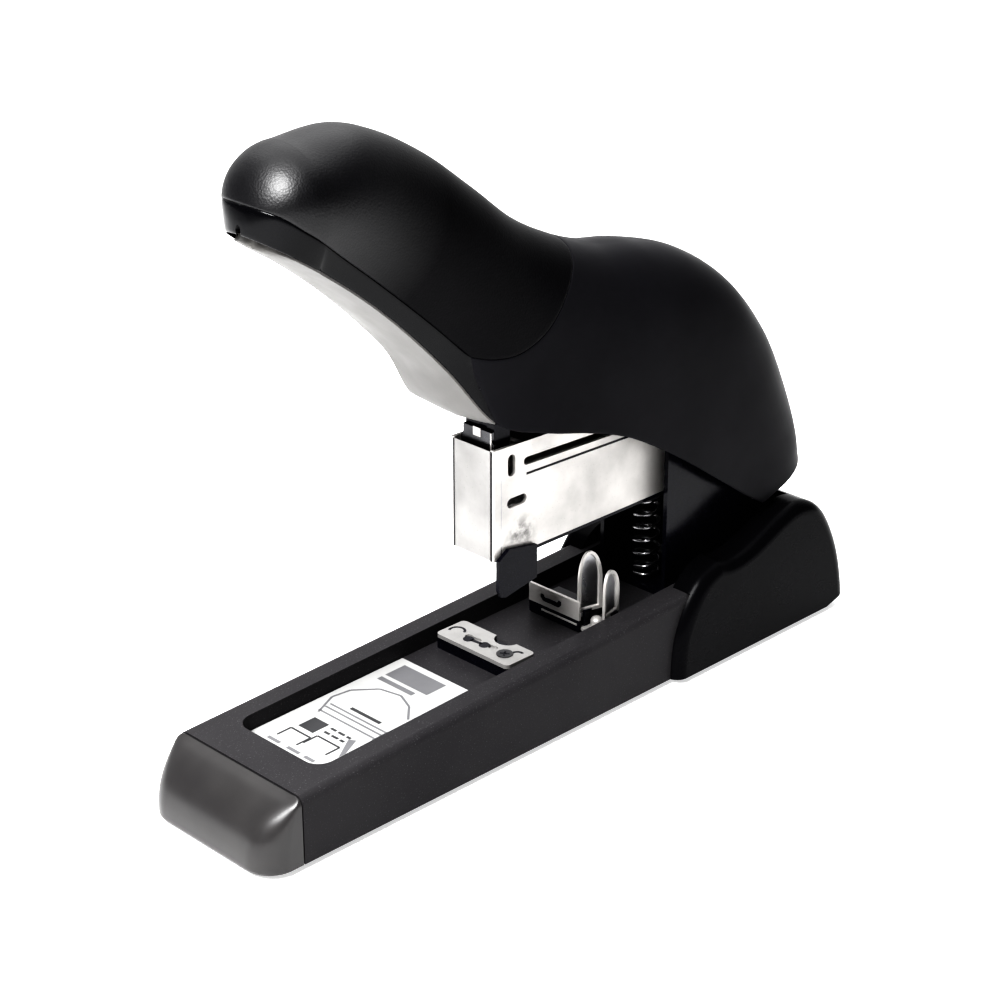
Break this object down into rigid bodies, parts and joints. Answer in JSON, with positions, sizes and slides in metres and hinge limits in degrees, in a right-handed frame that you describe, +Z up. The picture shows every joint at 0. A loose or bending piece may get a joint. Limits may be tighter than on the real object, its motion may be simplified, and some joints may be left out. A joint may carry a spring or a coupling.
{
  "type": "desk stapler",
  "caption": "Desk stapler with a sprung press handle over a tilting magazine, a slide-out staple drawer, anvil, paper foot and sliding paper stop.",
  "frame": {"origin": "on the ground, midway along and across the stapler", "axes": "+Z up, -X towards the handle's nose, +X towards the rear cover, Y across the width"},
  "size_m": [0.2344, 0.056, 0.1846],
  "materials": {
    "base_coat": "satin black powder coat",
    "cap_plastic": "dark grey moulded plastic",
    "cover_plastic": "black moulded plastic, satin gloss",
    "grip_rubber": "fine-grained black over-moulded rubber",
    "hood_plastic": "satin black moulded plastic",
    "trim_plastic": "polished black plastic",
    "panel_plastic": "warm light grey plastic",
    "nickel": "nickel-plated pressed steel",
    "black_steel": "gloss black coated steel",
    "spring_steel": "drawn spring wire",
    "staple_steel": "glued galvanised staple wire",
    "foot_rubber": "soft black rubber",
    "label_film": "printed white film"
  },
  "bodies": {
    "base": {"base_channel": "base_coat", "front_cap": "cap_plastic", "bottom_plate": "base_coat", "rubber_feet": "foot_rubber", "tray_label": "label_film", "anvil_block": "black_steel", "anvil_plate": "nickel", "anvil_screw": "nickel", "pivot_bracket": "black_steel", "bracket_rivets": "nickel", "main_pivot_pin": "spring_steel", "pin_clip": "spring_steel", "rear_cover": "cover_plastic", "lift_spring": "spring_steel"},
    "magazine": {"magazine_channel": "nickel", "magazine_rear_block": "black_steel", "spring_seat": "nickel", "press_return_spring": "spring_steel"},
    "drawer": {"drawer_frame": "nickel", "drawer_tail": "black_steel", "staple_rail": "nickel", "staple_strip": "staple_steel", "pusher_rod": "spring_steel", "pusher_spring": "spring_steel"},
    "pusher": {"staple_pusher": "black_steel"},
    "driver": {"driver_blade": "spring_steel", "driver_yoke": "black_steel"},
    "foot": {"paper_foot": "black_steel"},
    "stop": {"stop_base": "black_steel", "stop_plate": "nickel", "stop_wing": "nickel", "stop_stud": "nickel"},
    "ear_near": {"stop_ear_near": "nickel"},
    "ear_far": {"stop_ear_far": "nickel"},
    "handle": {"grip_shell": "grip_rubber", "trim_band": "trim_plastic", "hood_shell": "hood_plastic", "underside_panel": "panel_plastic", "lever_frame": "black_steel", "press_post": "black_steel", "lever_arm": "black_steel", "shell_rib": "hood_plastic", "shell_screws": "nickel"}
  },
  "joints": [
    {"name": "magazine_tilt", "type": "hinge", "parent": "base", "child": "magazine", "pos_m": [0.0859, 0, 0.0468], "axis": [0, -1, 0], "range_deg": [0, 15.6], "stiffness_Nm_per_rad": 1.5, "springref_deg": -22.92, "deforming": ["lift_spring"]},
    {"name": "handle_press", "type": "hinge", "parent": "magazine", "child": "handle", "pos_m": [0.0859, 0, 0.0468], "axis": [0, -1, 0], "range_deg": [0, 8.15], "stiffness_Nm_per_rad": 2, "springref_deg": -14.32},
    {"name": "driver_slide", "type": "slide", "parent": "magazine", "child": "driver", "axis": [0, 0, -1], "range_m": [0, 0.0145]},
    {"name": "drawer_slide", "type": "slide", "parent": "magazine", "child": "drawer", "axis": [1, 0, 0], "range_m": [-0.08, 0]},
    {"name": "pusher_slide", "type": "slide", "parent": "drawer", "child": "pusher", "axis": [1, 0, 0], "range_m": [0, 0.01], "stiffness_N_per_m": 80, "springref_m": -0.02, "deforming": ["pusher_spring"]},
    {"name": "foot_slide", "type": "slide", "parent": "magazine", "child": "foot", "axis": [0, 0, 1], "range_m": [0, 0.01]},
    {"name": "stop_slide", "type": "slide", "parent": "base", "child": "stop", "axis": [0.9997, 0, 0.0262], "range_m": [-0.01, 0.016]},
    {"name": "near_ear_squeeze", "type": "hinge", "parent": "stop", "child": "ear_near", "pos_m": [0.0206, -0.0156, 0.0227], "axis": [-0.9848, 0.1736, 0], "range_deg": [0, 5], "stiffness_Nm_per_rad": 0.2, "springref_deg": -5.73},
    {"name": "far_ear_squeeze", "type": "hinge", "parent": "stop", "child": "ear_far", "pos_m": [0.0177, -0.00995, 0.0227], "axis": [0.9848, 0.1736, 0], "range_deg": [0, 5]}
  ],
  "couplings": [
    {"joint": "driver_slide", "follows": "handle_press", "m_per_rad": 0.10194},
    {"joint": "foot_slide", "follows": "magazine_tilt", "m_per_rad": 0.03673},
    {"joint": "far_ear_squeeze", "follows": "near_ear_squeeze", "ratio": 1}
  ]
}
